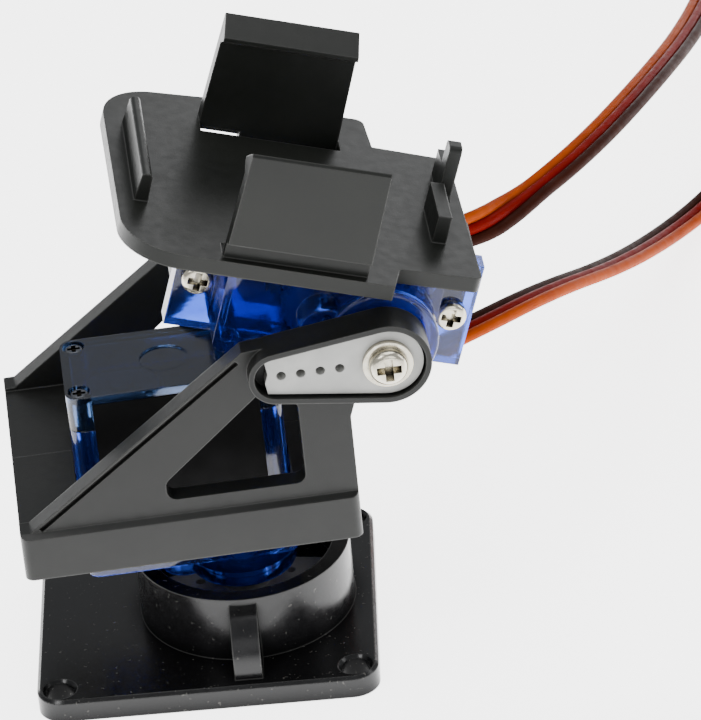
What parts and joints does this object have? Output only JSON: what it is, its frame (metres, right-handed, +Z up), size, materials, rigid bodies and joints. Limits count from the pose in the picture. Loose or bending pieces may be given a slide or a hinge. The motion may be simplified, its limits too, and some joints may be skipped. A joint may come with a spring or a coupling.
{
  "type": "pan tilt camera mount",
  "caption": "Two-axis camera mount: square base with a round cup, split yoke around a pan servo, tilt servo and a hooked camera plate.",
  "frame": {"origin": "centre of the base's four mounting holes, on its underside", "axes": "+Z up, +X to the right towards the tilt axis side, +Y to the back"},
  "size_m": [0.1301, 0.1642, 0.0664],
  "materials": {
    "black_nylon": "moulded nylon, fine grain",
    "blue_shell": "clear blue moulding",
    "white_nylon": "smooth moulded nylon",
    "screw_steel": "nickel plated",
    "motor_steel": "drawn steel can",
    "black_plastic": "moulded",
    "board_green": "solder mask",
    "black_rubber": "moulded rubber",
    "gear_white": "moulded acetal",
    "gear_brass": "cut brass",
    "pin_steel": "ground steel",
    "lead_jacket": "three-wire ribbon: brown, red and orange PVC",
    "label_film": "plain black film, no print",
    "contact_gold": "plated contact"
  },
  "bodies": {
    "base": {"base_plate": "black_nylon", "pan_servo_arm": "white_nylon", "pan_arm_screws": "screw_steel", "pan_shaft_screw": "screw_steel", "pan_servo_output_gear": "gear_white"},
    "pan_head": {"yoke_front": "black_nylon", "yoke_rear": "black_nylon", "yoke_screws": "screw_steel", "tilt_servo_arm": "white_nylon", "tilt_shaft_screw": "screw_steel", "tilt_servo_output_gear": "gear_white", "pan_servo_case_bottom": "blue_shell", "pan_servo_case_middle": "blue_shell", "pan_servo_case_top": "blue_shell", "pan_servo_case_screws": "screw_steel", "pan_servo_motor": "motor_steel", "pan_servo_potentiometer": "black_plastic", "pan_servo_control_board": "board_green", "pan_servo_lead_grommet": "black_rubber", "pan_servo_label": "label_film", "pan_servo_idler_pin": "pin_steel", "pan_lead": "lead_jacket", "pan_lead_connector": "black_plastic", "pan_lead_contacts": "contact_gold", "tilt_lead": "lead_jacket", "tilt_lead_connector": "black_plastic", "tilt_lead_contacts": "contact_gold"},
    "tilt_head": {"camera_plate": "black_nylon", "tilt_ear_screws": "screw_steel", "tilt_servo_case_bottom": "blue_shell", "tilt_servo_case_middle": "blue_shell", "tilt_servo_case_top": "blue_shell", "tilt_servo_case_screws": "screw_steel", "tilt_servo_motor": "motor_steel", "tilt_servo_potentiometer": "black_plastic", "tilt_servo_control_board": "board_green", "tilt_servo_lead_grommet": "black_rubber", "tilt_servo_label": "label_film", "tilt_servo_idler_pin": "pin_steel"},
    "pan_gear_third": {"pan_servo_gear_third": "gear_white"},
    "pan_gear_second": {"pan_servo_gear_second": "gear_white"},
    "pan_gear_first": {"pan_servo_gear_first": "gear_white"},
    "pan_motor_pinion": {"pan_servo_motor_pinion": "gear_brass"},
    "tilt_gear_third": {"tilt_servo_gear_third": "gear_white"},
    "tilt_gear_second": {"tilt_servo_gear_second": "gear_white"},
    "tilt_gear_first": {"tilt_servo_gear_first": "gear_white"},
    "tilt_motor_pinion": {"tilt_servo_motor_pinion": "gear_brass"}
  },
  "joints": [
    {"name": "pan_turn", "type": "hinge", "parent": "base", "child": "pan_head", "pos_m": [0.0045, 0, 0.0055], "axis": [0, 0, 1], "range_deg": [-95, 85]},
    {"name": "tilt_turn", "type": "hinge", "parent": "pan_head", "child": "tilt_head", "pos_m": [0.02124, 0.00146, 0.041], "axis": [-0.0872, 0.9962, 0], "range_deg": [-18, 80], "deforming": ["tilt_lead"]},
    {"name": "pan_gear_third_spin", "type": "hinge", "parent": "pan_head", "child": "pan_gear_third", "pos_m": [-0.00118, -0.0005, 0.02], "axis": [0, 0, 1], "range_deg": [-286, 256]},
    {"name": "pan_gear_second_spin", "type": "hinge", "parent": "pan_head", "child": "pan_gear_second", "pos_m": [0.0045, 0, 0.02], "axis": [0, 0, 1], "range_deg": [-808.5, 903.5]},
    {"name": "pan_gear_first_spin", "type": "hinge", "parent": "pan_head", "child": "pan_gear_first", "pos_m": [-0.00118, -0.0005, 0.02], "axis": [0, 0, 1], "range_deg": [-4513.5, 4038.5]},
    {"name": "pan_motor_pinion_spin", "type": "hinge", "parent": "pan_head", "child": "pan_motor_pinion", "pos_m": [-0.00626, -0.00094, 0.02], "axis": [0, 0, 1], "range_deg": [-18842.67, 21059.33]},
    {"name": "tilt_gear_third_spin", "type": "hinge", "parent": "tilt_head", "child": "tilt_gear_third", "pos_m": [0.01584, 0.00099, 0.04276], "axis": [-0.0872, 0.9962, 0], "range_deg": [-55, 241]},
    {"name": "tilt_gear_second_spin", "type": "hinge", "parent": "tilt_head", "child": "tilt_gear_second", "pos_m": [0.02124, 0.00146, 0.041], "axis": [-0.0872, 0.9962, 0], "range_deg": [-761, 172]},
    {"name": "tilt_gear_first_spin", "type": "hinge", "parent": "tilt_head", "child": "tilt_gear_first", "pos_m": [0.01584, 0.00099, 0.04276], "axis": [-0.0872, 0.9962, 0], "range_deg": [-856, 3801]},
    {"name": "tilt_motor_pinion_spin", "type": "hinge", "parent": "tilt_head", "child": "tilt_motor_pinion", "pos_m": [0.011, 0.00057, 0.04434], "axis": [-0.0872, 0.9962, 0], "range_deg": [-17734.33, 3991]}
  ],
  "couplings": [
    {"joint": "pan_gear_third_spin", "follows": "pan_turn", "ratio": 3},
    {"joint": "pan_gear_second_spin", "follows": "pan_turn", "ratio": -9.5},
    {"joint": "pan_gear_first_spin", "follows": "pan_turn", "ratio": 47.5},
    {"joint": "pan_motor_pinion_spin", "follows": "pan_turn", "ratio": -221.67},
    {"joint": "tilt_gear_third_spin", "follows": "tilt_turn", "ratio": 3},
    {"joint": "tilt_gear_second_spin", "follows": "tilt_turn", "ratio": -9.5},
    {"joint": "tilt_gear_first_spin", "follows": "tilt_turn", "ratio": 47.5},
    {"joint": "tilt_motor_pinion_spin", "follows": "tilt_turn", "ratio": -221.67}
  ]
}
